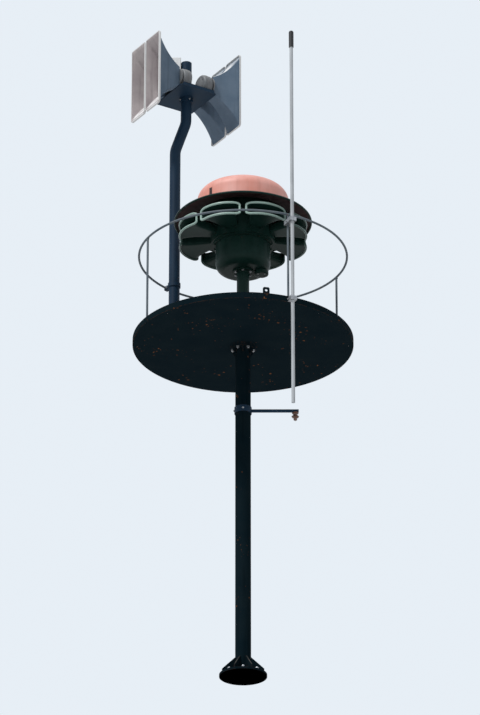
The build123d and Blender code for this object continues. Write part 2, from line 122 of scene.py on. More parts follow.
# Paint worn off along edges
edge_wear, given, out = shader_group(
    "edge_wear",
    [("Width", "NodeSocketFloat", 0.004), ("Amount", "NodeSocketFloat", 1.0)],
    [("Mask", "NodeSocketFloat")],
)
bevelled = node(edge_wear, "Bevel", {"Radius": given["Width"]}, samples=4).outputs[0]
alike = agreement(edge_wear, bevelled, node(edge_wear, "NewGeometry").outputs["Normal"])
place = node(edge_wear, "TexCoord").outputs["Object"]
chipped = ramp(edge_wear, noise(edge_wear, place, 38.0, 5.0), 0.44, 0.60)
worn = times(edge_wear, ramp(edge_wear, alike, 0.985, 0.86), chipped)
edge_wear.links.new(times(edge_wear, worn, given["Amount"]), out["Mask"])

# Streaks that rain has drawn down upright faces
rain_streaks, given, out = shader_group(
    "rain_streaks",
    [("Fineness", "NodeSocketFloat", 26.0), ("Amount", "NodeSocketFloat", 0.5)],
    [("Mask", "NodeSocketFloat")],
)
place = node(rain_streaks, "TexCoord").outputs["Object"]
stretched = node(rain_streaks, "Mapping", {"Vector": place, "Scale": (1.0, 1.0, 0.07)}).outputs[0]
drawn = ramp(rain_streaks, noise(rain_streaks, stretched, given["Fineness"], 4.0), 0.50, 0.72)
level = node(rain_streaks, "Math", {0: rise(rain_streaks)}, operation="ABSOLUTE").outputs[0]
drawn = times(rain_streaks, drawn, ramp(rain_streaks, level, 0.75, 0.30))
rain_streaks.links.new(times(rain_streaks, drawn, given["Amount"]), out["Mask"])

# Rust that breaks through the paint in spots, thicker in some areas than in others
rust_spots, given, out = shader_group(
    "rust_spots",
    [("Scale", "NodeSocketFloat", 30.0), ("Amount", "NodeSocketFloat", 0.3)],
    [("Mask", "NodeSocketFloat"), ("Colour", "NodeSocketColor")],
)
place = node(rust_spots, "TexCoord").outputs["Object"]
areas = ramp(rust_spots, noise(rust_spots, place, 3.1, 2.0), 0.40, 0.66)
grains = noise(rust_spots, place, given["Scale"], 8.0)
reach = times(rust_spots, times(rust_spots, given["Amount"], areas), 0.20)
least = node(rust_spots, "Math", {0: 0.74, 1: reach}, operation="SUBTRACT").outputs[0]
broken = ramp(rust_spots, grains, least, plus(rust_spots, least, 0.05))
broken = times(rust_spots, broken, ramp(rust_spots, given["Amount"], 0.0, 0.02))
rust_spots.links.new(broken, out["Mask"])
mottled = noise(rust_spots, place, 75.0, 4.0)
rusty = blend(rust_spots, mottled, (0.055, 0.018, 0.008, 1), (0.26, 0.105, 0.040, 1))
rust_spots.links.new(rusty, out["Colour"])

# A pale dusty film on what faces up; with a white colour it is painted sunlight on the tops instead
settled_dust_and_light, given, out = shader_group(
    "settled_dust_and_light", [("Amount", "NodeSocketFloat", 0.5)], [("Mask", "NodeSocketFloat")]
)
place = node(settled_dust_and_light, "TexCoord").outputs["Object"]
patches = ramp(settled_dust_and_light, noise(settled_dust_and_light, place, 9.0, 5.0), 0.30, 0.68)
dust_and_light_on_top = times(settled_dust_and_light, ramp(settled_dust_and_light, rise(settled_dust_and_light), 0.25, 0.95), patches)
settled_dust_and_light.links.new(times(settled_dust_and_light, dust_and_light_on_top, given["Amount"]), out["Mask"])


def bare_finish(name):
    """Starts a material: gives it, its node tree and its surface shader."""
    material = bpy.data.materials.new(name)
    material.use_nodes = True
    return material, material.node_tree, material.node_tree.nodes["Principled BSDF"]


def paint(
    name, colour, faded_and_highlight, roughness, wear=0.5, streaks=0.4, rust=0.3, dust_and_top_light=0.4,
    patch=5.0, specular=0.4, on_top=(0.30, 0.29, 0.26), highlight_side=None,
):
    """Outdoor paint: its colour fading in patches, streaked, dusty on top, rusting in spots and
    along edges.
    Where the colour on top is white, the top stands for painted sunlight rather than a dusty film.
    With a highlight side, a direction, its second tone is a painted highlight on that side of the
    tower instead."""
    material, tree, surface = bare_finish(name)
    place = node(tree, "TexCoord").outputs["Object"]
    fading_and_highlight_mask = ramp(tree, noise(tree, place, patch, 5.0), 0.32, 0.70)
    # A highlight side turns the second tone into a painted highlight on the side facing that way.
    if highlight_side:
        fading_and_highlight_mask = ramp(tree, agreement(tree, place, highlight_side), 0.15, 0.55)
    skin = blend(tree, fading_and_highlight_mask, (*colour, 1), (*faded_and_highlight, 1))
    drawn = node(tree, "Group", {"Amount": streaks}, node_tree=rain_streaks).outputs["Mask"]
    skin = blend(tree, drawn, skin, (*(0.35 * part for part in colour), 1))
    # What faces up takes the colour on top: a dusty film on most paints, painted sunlight where
    # that colour is white.
    dust_and_light_on_top = node(tree, "Group", {"Amount": dust_and_top_light}, node_tree=settled_dust_and_light).outputs["Mask"]
    skin = blend(tree, dust_and_light_on_top, skin, (*on_top, 1))
    spots = node(tree, "Group", {"Amount": rust}, node_tree=rust_spots)
    edges = node(tree, "Group", {"Amount": wear}, node_tree=edge_wear).outputs["Mask"]
    rusted = larger(tree, spots.outputs["Mask"], edges)
    skin = blend(tree, rusted, skin, spots.outputs["Colour"])
    tree.links.new(skin, surface.inputs["Base Color"])
    matt = node(tree, "Mix", {0: larger(tree, rusted, dust_and_light_on_top), 2: roughness, 3: 0.88}).outputs[0]
    tree.links.new(plus(tree, matt, times(tree, fading_and_highlight_mask, 0.10)), surface.inputs["Roughness"])
    surface.inputs["Specular IOR Level"].default_value = specular
    brushed = times(tree, noise(tree, place, 160.0, 3.0), 0.25)
    raised = plus(tree, brushed, rusted)
    relief = node(tree, "Bump", {"Strength": 0.5, "Distance": 0.0008, "Height": raised})
    tree.links.new(relief.outputs[0], surface.inputs["Normal"])
    return material


def zinc(name, colour, roughness, rust=0.15):
    """Hot-dip zinc gone dull: a mosaic of crystals, with a little rust."""
    material, tree, surface = bare_finish(name)
    place = node(tree, "TexCoord").outputs["Object"]
    crystals = node(tree, "TexVoronoi", {"Vector": place, "Scale": 90.0}).outputs["Color"]
    shade = node(tree, "SeparateColor", {0: crystals}).outputs[0]
    darker = (0.62 * colour[0], 0.63 * colour[1], 0.66 * colour[2], 1)
    skin = blend(tree, shade, (*colour, 1), darker)
    spots = node(tree, "Group", {"Amount": rust}, node_tree=rust_spots)
    skin = blend(tree, spots.outputs["Mask"], skin, spots.outputs["Colour"])
    tree.links.new(skin, surface.inputs["Base Color"])
    tree.links.new(ramp(tree, spots.outputs["Mask"], 1.6, 0.0), surface.inputs["Metallic"])
    dull = larger(tree, spots.outputs["Mask"], times(tree, shade, 0.4))
    matt = node(tree, "Mix", {0: dull, 2: roughness, 3: 0.85})
    tree.links.new(matt.outputs[0], surface.inputs["Roughness"])
    raised = noise(tree, place, 240.0)
    relief = node(tree, "Bump", {"Strength": 0.3, "Distance": 0.0004, "Height": raised})
    tree.links.new(relief.outputs[0], surface.inputs["Normal"])
    return material


def coat(finish, *names):
    """Gives these pieces of the frame their finish."""
    for name in names:
        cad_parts[name].data.materials.clear()
        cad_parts[name].data.materials.append(finish)


def fit(piece, name, slot, *finishes):
    """Names a finished piece, gives it its finish and fastens it to the tower."""
    piece.name = piece.data.name = name
    for finish in finishes:
        piece.data.materials.append(finish)
    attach(piece, "root")


def select(*pieces):
    """Selects these pieces and nothing else; the first is the active one."""
    bpy.ops.object.select_all(action="DESELECT")
    for piece in pieces:
        piece.select_set(True)
    bpy.context.view_layer.objects.active = pieces[0]


def settle(crease=radians(38)):
    """Leaves the selected piece smooth but for its edges, with its object at the origin."""
    bpy.ops.object.transform_apply(location=True, rotation=True, scale=True)
    bpy.ops.object.shade_smooth_by_angle(angle=crease)


def chamfered_disc(sides, radius, low, high, chamfer, centre=(0, 0)):
    """Short bar on end with chamfered rims: a nut with six sides, a washer or a bolt with more."""
    bpy.ops.object.select_all(action="DESELECT")
    bpy.ops.mesh.primitive_cylinder_add(
        vertices=sides, radius=radius, depth=high - low, location=(*centre, (low + high) / 2)
    )
    bpy.ops.object.mode_set(mode="EDIT")
    bpy.ops.mesh.select_all(action="SELECT")
    bpy.ops.mesh.bevel(offset=chamfer, segments=2, affect="EDGES", clamp_overlap=True)
    bpy.ops.object.mode_set(mode="OBJECT")
    settle()
    return bpy.context.object


def nut_on_stud(thread):
    """Hexagon nut on its washer, with the end of the stud, in the proportions of a metric nut."""
    washer = chamfered_disc(20, 0.95 * thread, 0, 0.15 * thread, 0.03 * thread)
    nut = chamfered_disc(6, 0.87 * thread, 0.15 * thread, 0.95 * thread, 0.06 * thread)
    stud = chamfered_disc(12, 0.5 * thread, 0, 1.3 * thread, 0.08 * thread)
    select(washer, nut, stud)
    bpy.ops.object.join()
    return washer


def bolt_head(thread):
    """Hexagon head on its washer."""
    washer = chamfered_disc(20, 0.95 * thread, 0, 0.15 * thread, 0.03 * thread)
    head = chamfered_disc(6, 0.87 * thread, 0.15 * thread, 0.80 * thread, 0.06 * thread)
    select(washer, head)
    bpy.ops.object.join()
    return washer


def copy_at(piece, place):
    """Copy of the piece, with its own mesh, at the place."""
    copy = piece.copy()
    copy.data = piece.data.copy()
    copy.data.transform(place)
    bpy.context.scene.collection.objects.link(copy)
    return copy


def repeat(piece, places):
    """Sets a copy of the piece at each place and joins them into one object."""
    copies = [copy_at(piece, place) for place in places]
    bpy.data.objects.remove(piece)
    select(*copies)
    bpy.ops.object.join()
    return copies[0]


def ring_places(count, radius, level, start=0.0, centre=(0, 0), hanging=False):
    """Places for bolts on a circle, standing up or hanging head down."""
    over = Matrix.Rotation(pi, 4, "X") if hanging else Matrix.Identity(4)
    angles = [radians(start + 360 / count * number) for number in range(count)]
    spots = [(centre[0] + radius * cos(a), centre[1] + radius * sin(a), level) for a in angles]
    return [
        Matrix.Translation(spot) @ Matrix.Rotation(a, 4, "Z") @ over
        for spot, a in zip(spots, angles)
    ]


def weld_bead(radius, level, size=0.005, centre=(0, 0)):
    """Ring of weld round a pipe, a little uneven as it was laid by hand."""
    bpy.ops.object.select_all(action="DESELECT")
    bpy.ops.mesh.primitive_torus_add(
        major_radius=radius, minor_radius=size, major_segments=96, minor_segments=8,
        location=(*centre, level),
    )
    bpy.ops.object.mode_set(mode="EDIT")
    bpy.ops.mesh.select_all(action="SELECT")
    bpy.ops.transform.vertex_random(offset=0.16 * size, seed=7)
    bpy.ops.object.mode_set(mode="OBJECT")
    settle()
    return bpy.context.object


tower_paint = paint(
    "tower_paint", (0.0025, 0.0090, 0.0135), (0.0060, 0.0130, 0.0170), 0.8,
    wear=0.5, rust=0.60, dust_and_top_light=0.35, specular=0.02,
)
dull_zinc = zinc("dull_zinc", (0.46, 0.47, 0.48), 0.42, rust=0.35)
column_radius = 0.06985
foot_thickness = 0.020
foot_bolt_reach = 0.170

coat(tower_paint, "base_flange")
anchors = repeat(nut_on_stud(0.020), ring_places(8, foot_bolt_reach, foot_thickness))
fit(anchors, "foot_anchor_nuts", "galvanised", dull_zinc)
foot_weld = weld_bead(column_radius, foot_thickness + 0.002, 0.007)
fit(foot_weld, "foot_weld", "platform_dark", tower_paint)


# Column. One length of steel pipe, painted in the same near-black green, with
# its ribbed top flange bolted up to the flange that is welded under the deck.
joint_flange_thickness = 0.018
column_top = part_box("column_flange")[1].z - joint_flange_thickness
joint_bolt_reach = 0.0925

coat(tower_paint, "column", "column_flange", "platform_hub")
column_top_weld = weld_bead(column_radius, column_top - 0.002, 0.006)
fit(column_top_weld, "column_top_weld", "platform_dark", tower_paint)
joint_nuts = repeat(nut_on_stud(0.016), ring_places(6, joint_bolt_reach, column_top, hanging=True))
fit(joint_nuts, "column_joint_nuts", "galvanised", dull_zinc)


# Platform. A round steel plate inside a rolled flat bar, welded to it all round,
# with a lifting lug at the near edge. Near-black green, rusting in specks below.
deck_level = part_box("platform_deck")[1].z
rim_inside = 0.994
hub_radius = 0.110

coat(tower_paint, "platform_deck", "platform_rim", "rim_lug")
rim_weld = weld_bead(rim_inside - 0.001, deck_level + 0.001, 0.004)
fit(rim_weld, "rim_weld", "platform_dark", tower_paint)
hub_weld = weld_bead(hub_radius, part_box("platform_hub")[1].z - 0.001, 0.005)
fit(hub_weld, "hub_weld", "platform_dark", tower_paint)


# Guard. A round bar rolled to a hoop on four posts; each post has a small foot
# plate with four screws into the deck. Dull grey-blue paint.
guard_paint = paint(
    "guard_paint", (0.075, 0.100, 0.125), (0.13, 0.16, 0.18), 0.55, wear=0.3, rust=0.45, dust_and_top_light=0.3
)
post_angles = (-65, 25, 115, 205)
post_reach = 0.950
post_radius = 0.0105
post_foot = 0.006
post_screw_spread = 0.021
hoop_level = deck_level + 0.890

coat(guard_paint, "guard_hoop", *(f"guard_post_{number}" for number in range(1, 5)))
posts = [(post_reach * cos(radians(a)), post_reach * sin(radians(a))) for a in post_angles]
for number, post in enumerate(posts, start=1):
    post_weld = weld_bead(post_radius, hoop_level - 0.010, 0.004, post)
    fit(post_weld, f"post_weld_{number}", "guard_steel", guard_paint)
screw_places = [
    Matrix.Rotation(radians(a), 4, "Z")
    @ Matrix.Translation((post_reach + x, y, deck_level + post_foot))
    for a in post_angles
    for x in (-post_screw_spread, post_screw_spread)
    for y in (-post_screw_spread, post_screw_spread)
]
fit(repeat(bolt_head(0.008), screw_places), "post_foot_screws", "galvanised", dull_zinc)


# Siren pedestal. A flanged pipe with six ribs, bolted to the deck, with a head
# plate bolted up into the siren's housing. Dark green like the siren.
siren_paint = paint(
    "siren_paint", (0.0045, 0.0190, 0.0155), (0.0090, 0.0300, 0.0250), 0.34,
    wear=0.15, rust=0.15, streaks=0.25, dust_and_top_light=0.25, specular=0.10,
)
pedestal_radius = 0.0575
pedestal_bolt_reach = 0.1075
head_bolt_reach = 0.077
foot_plate_top = deck_level + 0.014
head_plate_bottom = deck_level + 0.731

coat(siren_paint, "siren_pedestal")
pedestal_nuts = repeat(nut_on_stud(0.014), ring_places(6, pedestal_bolt_reach, foot_plate_top))
fit(pedestal_nuts, "pedestal_nuts", "galvanised", dull_zinc)
head_places = ring_places(6, head_bolt_reach, head_plate_bottom, start=30, hanging=True)
fit(repeat(bolt_head(0.012), head_places), "pedestal_head_bolts", "galvanised", dull_zinc)
pedestal_weld = weld_bead(pedestal_radius, foot_plate_top + 0.001, 0.005)
fit(pedestal_weld, "pedestal_weld", "siren_green", siren_paint)
head_weld = weld_bead(pedestal_radius, head_plate_bottom - 0.001, 0.005)
fit(head_weld, "pedestal_head_weld", "siren_green", siren_paint)


# Motor housing. A cast drum with a rounded bottom, hung on sixteen bolts under the
# ring of horns, with a round terminal cover held by four screws underneath.
housing_bolt_reach = 0.2615
housing_rim = deck_level + 1.001
cover_spot = (0.168, 0)
cover_screw_reach = 0.044
cover_bottom = deck_level + 0.711

coat(siren_paint, "motor_housing", "terminal_cover")
housing_places = ring_places(16, housing_bolt_reach, housing_rim, start=11.25, hanging=True)
fit(repeat(bolt_head(0.010), housing_places), "housing_bolts", "siren_green", siren_paint)
cover_places = ring_places(4, cover_screw_reach, cover_bottom, 45, cover_spot, hanging=True)
fit(repeat(bolt_head(0.006), cover_places), "cover_screws", "galvanised", dull_zinc)


# Siren horns. Eight flared sheet horns round the stator, each with a bolted saddle
# flange at its throat, a mouth bowed with the ring, and a lip rolled over a rod. The
# lips at the front are paler on the side turned to the lamp, a painted highlight.
drum_radius = 0.295
horn_level = deck_level + 1.105
horn_reach = 0.600
throat_half = (0.065, 0.035)
mouth_half = (0.189, 0.055)
flange_half = (0.083, 0.054)
flange_corner = 0.020
flange_bolt_half = (0.050, 0.0445)
first_horn = 22.5
mouth_bow = 0.300
horn_wall = 0.005
lip_radius = 0.0105
# The front lips' pale second tone, on the side turned to the lamp, is a painted highlight.
lip_paint = paint(
    "lip_paint", (0.025, 0.068, 0.058), (0.34, 0.48, 0.43), 0.22,
    wear=0.2, rust=0.2, streaks=0.1, dust_and_top_light=0.3, specular=0.5, highlight_side=(-0.35, -0.94, 0.0),
)


def pick(piece, test):
    """Goes into edit mode with the piece's points that pass the test selected, and no others."""
    bpy.ops.object.mode_set(mode="EDIT")
    bpy.ops.mesh.select_mode(type="VERT")
    bpy.ops.mesh.select_all(action="DESELECT")
    bpy.ops.object.mode_set(mode="OBJECT")
    for point in piece.data.vertices:
        point.select = test(point.co)
    bpy.ops.object.mode_set(mode="EDIT")


def rounded_outline(reach, half_width, half_height, corner, cuts):
    """Open rectangle with round corners, facing along x, with its long sides cut for bending."""
    bpy.ops.object.select_all(action="DESELECT")
    bpy.ops.mesh.primitive_plane_add(size=2, location=(reach, 0, 0), rotation=(0, pi / 2, 0))
    outline = bpy.context.object
    bpy.ops.object.transform_apply(location=True, rotation=True, scale=True)
    bpy.ops.object.mode_set(mode="EDIT")
    bpy.ops.mesh.select_all(action="SELECT")
    bpy.ops.transform.resize(value=(1, half_width, half_height), center_override=(reach, 0, 0))
    bpy.ops.mesh.bevel(offset=corner, segments=6, affect="VERTICES")
    bpy.ops.mesh.delete(type="ONLY_FACE")
    pick(outline, lambda co: abs(abs(co.z) - half_height) < 1e-4)
    bpy.ops.mesh.subdivide(number_cuts=cuts)
    bpy.ops.mesh.select_all(action="SELECT")
    return outline


def draw_out(step, widen, heighten, reach):
    """Extrudes the open outline a step along x and stretches the new ring."""
    bpy.ops.mesh.extrude_region_move(TRANSFORM_OT_translate={"value": (step, 0, 0)})
    bpy.ops.transform.resize(value=(1, widen, heighten), center_override=(reach + step, 0, 0))


def close_seams(piece, outwards):
    """Merges doubled points and turns the sheet so that the chosen face looks outwards."""
    bpy.ops.mesh.select_all(action="SELECT")
    bpy.ops.mesh.remove_doubles(threshold=1e-5)
    bpy.ops.mesh.normals_make_consistent(inside=False)
    bpy.ops.object.mode_set(mode="OBJECT")
    if outwards(max(piece.data.polygons, key=lambda face: face.center.z)) < 0:
        bpy.ops.object.mode_set(mode="EDIT")
        bpy.ops.mesh.select_all(action="SELECT")
        bpy.ops.mesh.flip_normals()
        bpy.ops.object.mode_set(mode="OBJECT")


def give_wall(piece, thickness, inner_finish=0, even=True):
    """Gives a sheet its thickness, inwards from the face that is drawn."""
    select(piece)
    wall = piece.modifiers.new("wall", "SOLIDIFY")
    wall.thickness = thickness
    wall.offset = -1
    wall.use_even_offset = even
    wall.material_offset = inner_finish
    bpy.ops.object.modifier_apply(modifier=wall.name)


def roll_lip(piece, at_mouth):
    """Takes off the line of points at the mouth, which the lip is rolled along."""
    pick(piece, at_mouth)
    bpy.ops.mesh.duplicate()
    bpy.ops.mesh.separate(type="SELECTED")
    bpy.ops.object.mode_set(mode="OBJECT")
    return [o for o in bpy.context.selected_objects if o != piece][0]


def round_rod(line, radius):
    """Turns a line of points into a round rod."""
    select(line)
    bpy.ops.object.convert(target="CURVE")
    line = bpy.context.object
    line.data.bevel_depth = radius
    line.data.bevel_resolution = 4
    line.data.use_fill_caps = True
    bpy.ops.object.convert(target="MESH")
    return bpy.context.object


def bow(piece):
    """Bends the throat round the drum and bows the mouth outwards in its middle."""
    for point in piece.data.vertices:
        along = min(max((point.co.x - drum_radius) / (horn_reach - drum_radius), 0), 1)
        at_throat = drum_radius - sqrt(drum_radius**2 - point.co.y**2)
        at_mouth = mouth_bow - sqrt(mouth_bow**2 - point.co.y**2)
        point.co.x -= (1 - along) * at_throat + along**1.5 * at_mouth


horn = rounded_outline(drum_radius, *flange_half, flange_corner, 12)
draw_out(0, throat_half[0] / flange_half[0], throat_half[1] / flange_half[1], drum_radius)
steps = 14
step = (horn_reach - drum_radius) / steps
wider = (mouth_half[0] / throat_half[0]) ** (1 / steps)
taller = (mouth_half[1] / throat_half[1]) ** (1 / steps)
for number in range(steps):
    draw_out(step, wider, taller, drum_radius + step * number)
close_seams(horn, lambda face: face.normal.z)
lip = roll_lip(horn, lambda co: co.x > horn_reach - 1e-4)
bow(horn)
bow(lip)
give_wall(horn, horn_wall)
lip = round_rod(lip, lip_radius)
flange_bolts = repeat(
    bolt_head(0.008),
    [
        Matrix.Rotation(asin(y / drum_radius), 4, "Z")
        @ Matrix.Translation((drum_radius, 0, z))
        @ Matrix.Rotation(pi / 2, 4, "Y")
        for y in (-flange_bolt_half[0], flange_bolt_half[0])
        for z in (-flange_bolt_half[1], flange_bolt_half[1])
    ],
)
for piece, finish in ((horn, siren_paint), (lip, lip_paint), (flange_bolts, siren_paint)):
    piece.data.materials.append(finish)
select(horn, lip, flange_bolts)
bpy.ops.object.join()
settle()
for number in range(8):
    turn = Matrix.Rotation(radians(45 * number + first_horn), 4, "Z")
    copy = copy_at(horn, Matrix.Translation((0, 0, horn_level)) @ turn)
    fit(copy, f"flared_horn_{number + 1}", "siren_green")
    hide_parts(f"siren_horn_{number + 1}")
bpy.data.objects.remove(horn)


# Stator and the carrier of the cap. The stator is a cast drum with a port behind
# each horn; the carrier is a plate and a drum bolted on its top.
carrier_bolt_reach = 0.278
carrier_plate_top = deck_level + 1.193

coat(siren_paint, "stator_drum", "cap_support")
carrier_bolts = repeat(bolt_head(0.010), ring_places(12, carrier_bolt_reach, carrier_plate_top))
fit(carrier_bolts, "carrier_bolts", "siren_green", siren_paint)


# Rain cap. Spun and pressed sheet: a shallow dome on an upright crown over a sloping
# brim with a rolled edge. The crown is orange-red, bleached by the sun, the brim dark
# green like the siren, and the underside a near-black maroon, the red darkened as painted shade.
def turned(profile, steps=96):
    """Turns a profile of (radius, height) points round the upright axis."""
    bpy.ops.object.select_all(action="DESELECT")
    bpy.ops.mesh.primitive_plane_add(size=0.01)
    piece = bpy.context.object
    bpy.ops.object.mode_set(mode="EDIT")
    bpy.ops.mesh.select_all(action="SELECT")
    bpy.ops.mesh.merge(type="CENTER")
    bpy.ops.transform.translate(value=(profile[0][0], 0, profile[0][1]))
    for (radius, height), (next_radius, next_height) in zip(profile, profile[1:]):
        move = (next_radius - radius, 0, next_height - height)
        bpy.ops.mesh.extrude_vertices_move(TRANSFORM_OT_translate={"value": move})
    bpy.ops.mesh.select_all(action="SELECT")
    bpy.ops.mesh.spin(steps=steps, angle=2 * pi, center=(0, 0, 0), axis=(0, 0, 1))
    return piece


def bend(centre, radius, start, end, steps):
    """Points of an arc in a profile, its angles in degrees from the outward direction."""
    angles = [radians(start + (end - start) * number / steps) for number in range(steps + 1)]
    return [(centre[0] + radius * cos(a), centre[1] + radius * sin(a)) for a in angles]


cap_red = paint(
    "cap_red", (0.70, 0.270, 0.210), (0.80, 0.420, 0.370), 0.45,
    wear=0.30, rust=0.30, streaks=0.14, dust_and_top_light=0.15, patch=4.0,
)
# The underside is the cap's red darkened to a near-black maroon: painted shade under the cap.
cap_underside = paint(
    "cap_underside", (0.028, 0.009, 0.010), (0.048, 0.016, 0.016), 0.6, rust=0.5, dust_and_top_light=0.0
)
cap_radius = 0.630
brim_edge = deck_level + 1.236
brim_skirt = 0.020
brim_slope = radians(12)
edge_roll = 0.0085
crown_radius = 0.4225
brim_inner = brim_edge + brim_skirt + (cap_radius - crown_radius) * tan(brim_slope)
crown_top = brim_inner + 0.230
dome_rise = 0.100
dome_sphere = (crown_radius**2 + dome_rise**2) / (2 * dome_rise)
shoulder = 0.120
cap_wall = 0.005

rim_angle = 90 - 180 / pi * asin((crown_radius - shoulder) / (dome_sphere - shoulder))
sphere_centre = (0, crown_top + dome_rise - dome_sphere)
shoulder_centre = (
    crown_radius - shoulder,
    sphere_centre[1] + sqrt((dome_sphere - shoulder) ** 2 - (crown_radius - shoulder) ** 2),
)
profile = [(0, crown_top + dome_rise)]
profile += bend(sphere_centre, dome_sphere, 90, rim_angle, 14)[1:-1]
profile += bend(shoulder_centre, shoulder, rim_angle, 0, 12)
profile += bend((crown_radius + 0.012, brim_inner + 0.010), 0.012, 180, 258, 4)
profile += bend((cap_radius - 0.010, brim_edge + brim_skirt - 0.008), 0.010, 78, 0, 4)
profile += [(cap_radius, brim_edge + 0.004)]
cap = turned(profile, 128)
close_seams(cap, lambda face: face.normal.z)
cap.data.materials.append(cap_red)
cap.data.materials.append(cap_underside)
# The inner faces take the maroon of painted shade.
give_wall(cap, cap_wall, inner_finish=1)
cap.data.materials.append(siren_paint)
for face in cap.data.polygons:
    if face.material_index == 0 and face.center.xy.length > crown_radius + 0.006:
        face.material_index = 2
bpy.ops.mesh.primitive_torus_add(
    major_radius=cap_radius - 0.005, minor_radius=edge_roll, major_segments=128, minor_segments=12,
    location=(0, 0, brim_edge + edge_roll),
)
rolled_edge = bpy.context.object
rolled_edge.data.materials.append(siren_paint)
select(cap, rolled_edge)
bpy.ops.object.join()
settle()
fit(cap, "rain_cap", "cap_red")
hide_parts("dome_cap")


# Lap seam of the cap's crown. The crown's wall is one strip rolled round, and its
# overlapping end stands proud on the left, closed with a row of rivets.
def flat_bar(middle, size, bevel, segments):
    """Flat bar with rounded edges."""
    bpy.ops.object.select_all(action="DESELECT")
    bpy.ops.mesh.primitive_cube_add(size=1, location=middle)
    bpy.ops.object.mode_set(mode="EDIT")
    bpy.ops.mesh.select_all(action="SELECT")
    bpy.ops.transform.resize(value=size, center_override=middle)
    bpy.ops.mesh.bevel(offset=bevel, segments=segments, affect="EDGES")
    bpy.ops.object.mode_set(mode="OBJECT")
    return bpy.context.object


seam_angle = radians(-134)
seam_width = 0.032
seam_low = brim_inner + 0.015
seam_high = shoulder_centre[1]
strip_thickness = 0.006
first_rivet = seam_low + 0.012
rivet_step = 0.028

seam_middle = (crown_radius + 0.0005, 0, (seam_low + seam_high) / 2)
seam = flat_bar(seam_middle, (strip_thickness, seam_width, seam_high - seam_low), 0.0018, 2)
rivets = repeat(
    chamfered_disc(12, 0.0055, 0, 0.003, 0.0014),
    [
        Matrix.Translation((crown_radius + 0.003, 0, first_rivet + rivet_step * number))
        @ Matrix.Rotation(pi / 2, 4, "Y")
        for number in range(5)
    ],
)
select(seam, rivets)
bpy.ops.object.join()
settle()
seam.data.transform(Matrix.Rotation(seam_angle, 4, "Z"))
# The strip and its rivets are coloured with the cap's dark underside maroon, which draws a dark
# line down the left of the crown.
fit(seam, "cap_seam", "cap_red", cap_underside)


# Side mast. A navy pipe with a swan neck on its own bolted foot, tied to the guard
# hoop by a two-bolt clamp and closed at its top.
mast_paint = paint(
    "mast_paint", (0.005, 0.021, 0.045), (0.010, 0.032, 0.062), 0.48,
    wear=0.35, rust=0.25, dust_and_top_light=0.3, specular=0.15,
)
mast_low, mast_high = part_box("mast_foot")
mast_spot = ((mast_low.x + mast_high.x) / 2, (mast_low.y + mast_high.y) / 2)
mast_radius = 0.0508
mast_bolt_reach = 0.084
mast_plate_top = deck_level + 0.014
clamp_turn = radians(137.8)
clamp_bolt_reach = 0.079
clamp_half = 0.020

coat(mast_paint, "mast_foot", "speaker_mast", "mast_hoop_clamp", "speaker_cradle")
mast_places = ring_places(4, mast_bolt_reach, mast_plate_top, 45, mast_spot)
fit(repeat(nut_on_stud(0.014), mast_places), "mast_foot_nuts", "galvanised", dull_zinc)
mast_weld = weld_bead(mast_radius, mast_plate_top + 0.001, 0.005, mast_spot)
fit(mast_weld, "mast_weld", "mast_blue", mast_paint)
clamp_bolts = repeat(
    nut_on_stud(0.010),
    [
        Matrix.Translation((*mast_spot, hoop_level))
        @ Matrix.Rotation(clamp_turn, 4, "Z")
        @ Matrix.Translation((clamp_bolt_reach, side * clamp_half, 0))
        @ Matrix.Rotation(-side * pi / 2, 4, "X")
        for side in (-1, 1)
    ],
)
fit(clamp_bolts, "hoop_clamp_bolts", "galvanised", dull_zinc)


# Loudspeakers' cradle. A pressed tray with turned-up edges on a collar that is held
# to the mast by four set screws.
neck_offset = 0.100
speaker_spot = (mast_spot[0] + neck_offset, mast_spot[1])
speaker_heading = 32
collar_wall = 0.0115
collar_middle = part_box("speaker_cradle")[0].z + 0.022
collar_screws = repeat(
    bolt_head(0.010),
    [
        Matrix.Translation((*speaker_spot, collar_middle))
        @ Matrix.Rotation(radians(speaker_heading + 90 * number), 4, "Z")
        @ Matrix.Translation((mast_radius + collar_wall, 0, 0))
        @ Matrix.Rotation(pi / 2, 4, "Y")
        for number in range(4)
    ],
)
fit(collar_screws, "collar_screws", "galvanised", dull_zinc)


# Junction box. A white enamelled sheet box strapped to the mast's top, with a lid
# held by four screws on its outer side.
box_white = paint(
    "box_white", (0.82, 0.84, 0.85), (0.74, 0.76, 0.77), 0.38,
    wear=0.2, rust=0.12, streaks=0.1, dust_and_top_light=0.1,
)
box_low, box_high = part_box("junction_box")
lid_margin = 0.004
lid_thickness = 0.006
lid_screw_half = (0.036, 0.053)
lid_middle = ((box_low.y + box_high.y) / 2, (box_low.z + box_high.z) / 2)

coat(box_white, "junction_box")
lid_width = box_high.y - box_low.y - 2 * lid_margin
lid_height = box_high.z - box_low.z - 2 * lid_margin
lid = flat_bar((box_low.x - 0.002, *lid_middle), (lid_thickness, lid_width, lid_height), 0.0018, 3)
lid_screws = repeat(
    chamfered_disc(16, 0.0045, 0, 0.0025, 0.0012),
    [
        Matrix.Translation((box_low.x - 0.005, lid_middle[0] + y, lid_middle[1] + z))
        @ Matrix.Rotation(-pi / 2, 4, "Y")
        for y in (-lid_screw_half[0], lid_screw_half[0])
        for z in (-lid_screw_half[1], lid_screw_half[1])
    ],
)
select(lid, lid_screws)
bpy.ops.object.join()
settle()
fit(lid, "junction_box_lid", "box_white", box_white)


